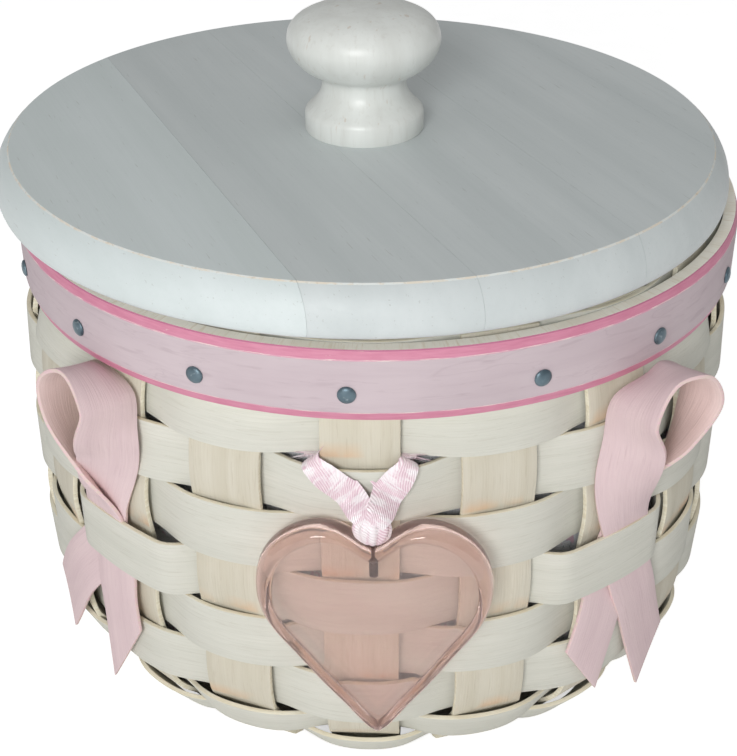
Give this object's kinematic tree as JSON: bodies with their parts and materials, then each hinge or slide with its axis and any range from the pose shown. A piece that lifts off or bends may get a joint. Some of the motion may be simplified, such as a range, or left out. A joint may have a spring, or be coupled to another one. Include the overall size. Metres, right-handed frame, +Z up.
{
  "type": "lidded basket",
  "caption": "Round woven splint basket with a cloth lining, a lift-off wooden lid with a turned knob, splint ribbon loops and a hanging glass heart.",
  "frame": {"origin": "middle of the underside, where the lowest long splint rests on the ground", "axes": "+Z up, -Y towards the front where the glass heart hangs, +X to the right seen from the front"},
  "size_m": [0.1883, 0.1909, 0.1733],
  "materials": {
    "white_splint": "thin off-white wood splint with fine grain",
    "upright_splint": "thin beige wood splint with fine grain",
    "pink_splint": "wood splint stained light pink, darker pink edges",
    "painted_board": "washed grey-white wood, satin lacquer",
    "painted_knob": "washed off-white turned wood",
    "tack_steel": "blued tack heads",
    "screw_steel": "plain steel",
    "satin": "pink satin ribbon",
    "rose_glass": "clear rose glass, polished",
    "lining_cloth": "thin grey-white printed cloth"
  },
  "bodies": {
    "basket": {"inner_band": "white_splint", "lining_floor": "lining_cloth", "lining_wall": "lining_cloth", "long_splint_1": "upright_splint", "long_splint_2": "upright_splint", "long_splint_3": "upright_splint", "long_splint_4": "upright_splint", "long_splint_5": "upright_splint", "long_splint_6": "upright_splint", "long_splint_7": "upright_splint", "long_splint_8": "upright_splint", "long_splint_9": "upright_splint", "ribbon_loop_left": "pink_splint", "ribbon_loop_right": "pink_splint", "satin_tie": "satin", "tack_1": "tack_steel", "tack_10": "tack_steel", "tack_11": "tack_steel", "tack_12": "tack_steel", "tack_13": "tack_steel", "tack_14": "tack_steel", "tack_15": "tack_steel", "tack_16": "tack_steel", "tack_2": "tack_steel", "tack_3": "tack_steel", "tack_4": "tack_steel", "tack_5": "tack_steel", "tack_6": "tack_steel", "tack_7": "tack_steel", "tack_8": "tack_steel", "tack_9": "tack_steel", "trim_band": "pink_splint", "weaver_1": "white_splint", "weaver_2": "white_splint", "weaver_3": "white_splint", "weaver_4": "white_splint", "weaver_5": "white_splint", "weaver_6": "white_splint", "weaver_7": "white_splint", "weaver_8": "white_splint", "weaver_9": "white_splint"},
    "lid": {"knob": "painted_knob", "knob_screw": "screw_steel", "lid_board_1": "painted_board", "lid_board_2": "painted_board", "lid_board_3": "painted_board", "lid_board_4": "painted_board", "lid_board_5": "painted_board", "lid_seat_plate": "painted_board"},
    "heart": {"satin_strands": "satin", "heart_eyelet": "screw_steel", "glass_heart": "rose_glass"}
  },
  "joints": [
    {"name": "lid_lift", "type": "slide", "parent": "basket", "child": "lid", "axis": [0, 0, 1], "range_m": [0, 0.06]},
    {"name": "heart_swing", "type": "hinge", "parent": "basket", "child": "heart", "pos_m": [0, -0.09017, 0.09849], "axis": [-1, 0, 0], "range_deg": [0, 60]}
  ]
}
